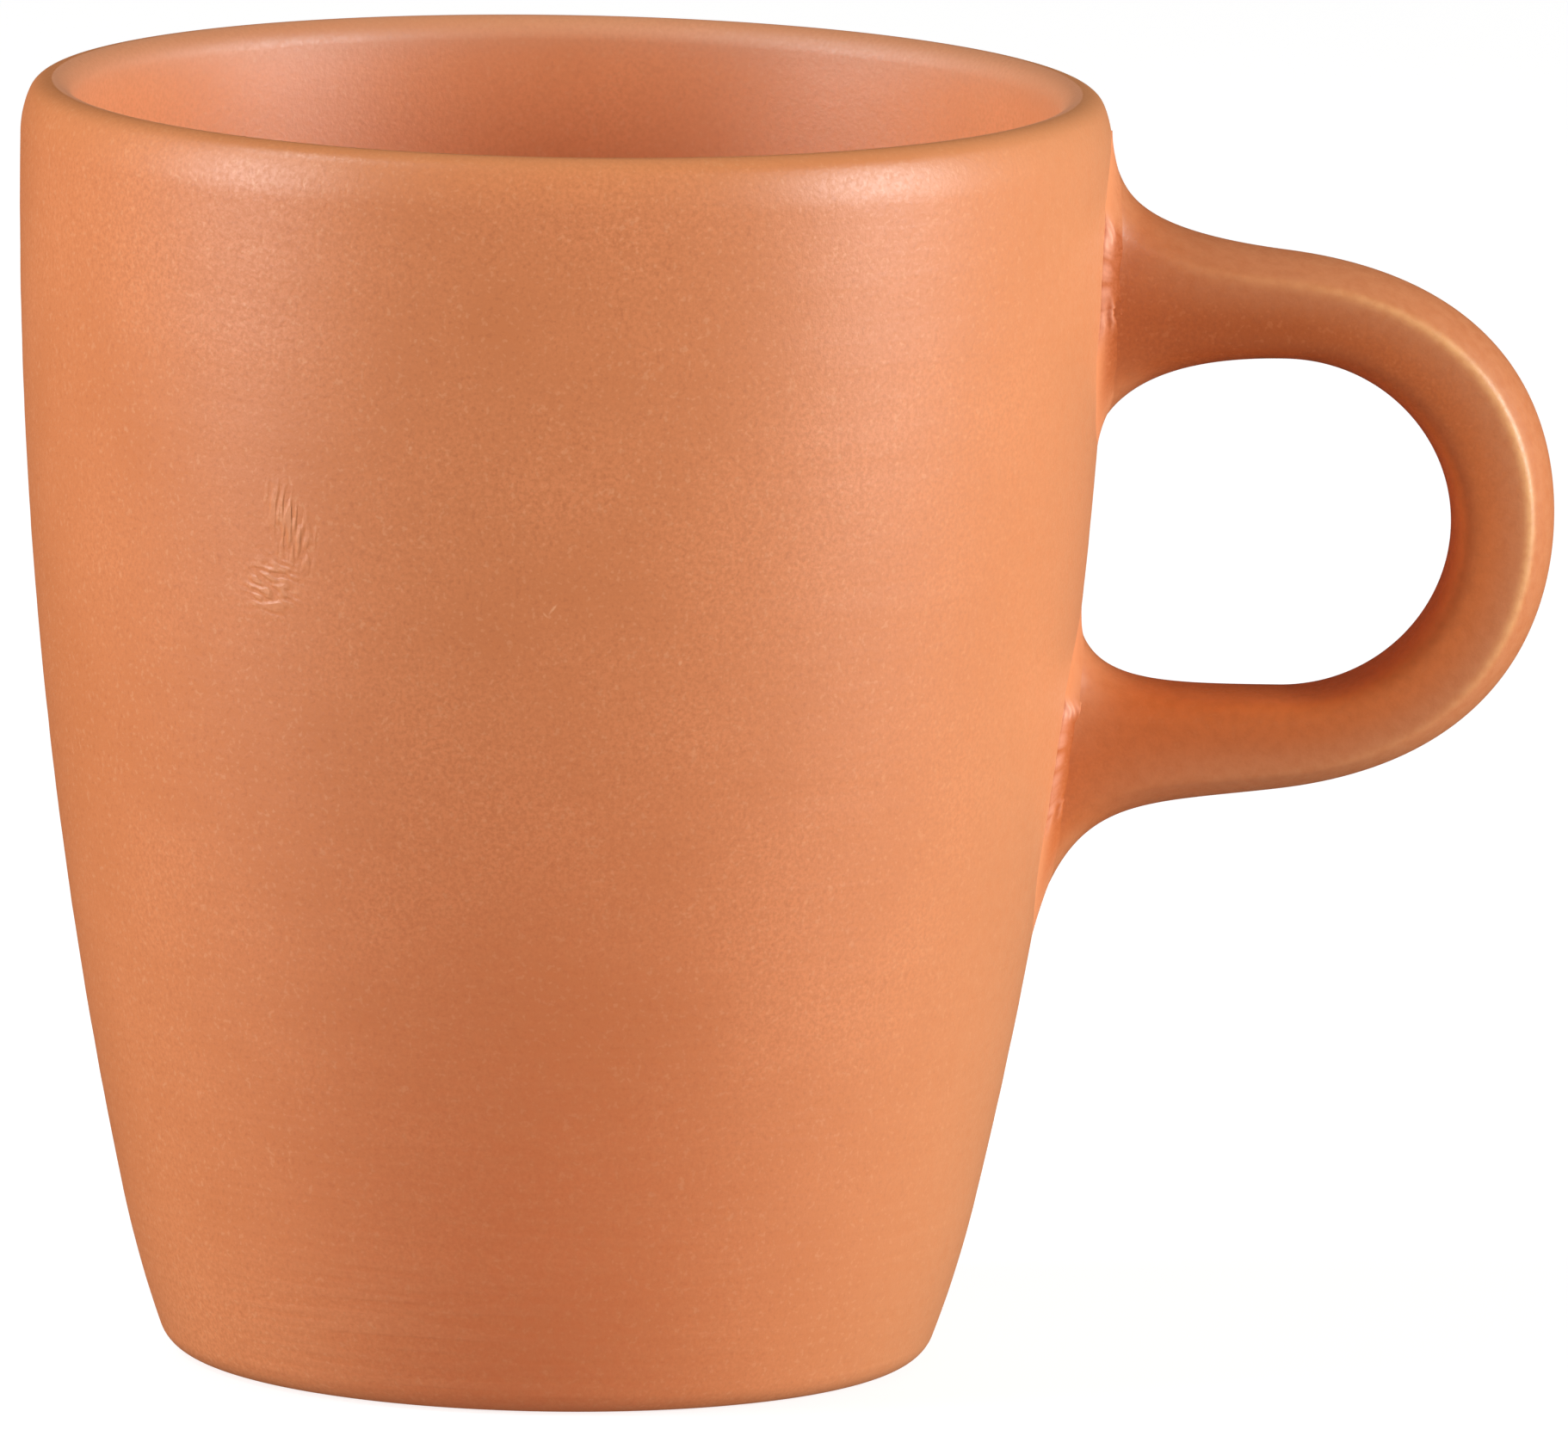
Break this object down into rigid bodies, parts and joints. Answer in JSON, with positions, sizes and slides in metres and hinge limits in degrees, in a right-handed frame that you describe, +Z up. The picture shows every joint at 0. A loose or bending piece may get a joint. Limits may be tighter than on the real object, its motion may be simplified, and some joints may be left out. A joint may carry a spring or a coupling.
{
  "type": "espresso cup",
  "caption": "Small tapered stoneware espresso cup with a soft rounded lip, a flat foot ring and a looped strap handle luted to its side.",
  "frame": {"origin": "on the cup's axis, at the middle of the foot face that the cup stands on", "axes": "+Z up along the cup's axis, +X from the axis towards the handle"},
  "size_m": [0.0841, 0.0596, 0.07],
  "materials": {
    "body_clay": "matte terracotta-coloured stoneware with a fine grain",
    "handle_clay": "matte terracotta-coloured stoneware, sponged smooth",
    "slip_clay": "matte dried slip, a little paler and rougher than the clay"
  },
  "bodies": {
    "root": {"cup_body": "body_clay", "handle": "handle_clay", "upper_slip_joint": "slip_clay", "lower_slip_joint": "slip_clay"}
  },
  "joints": []
}
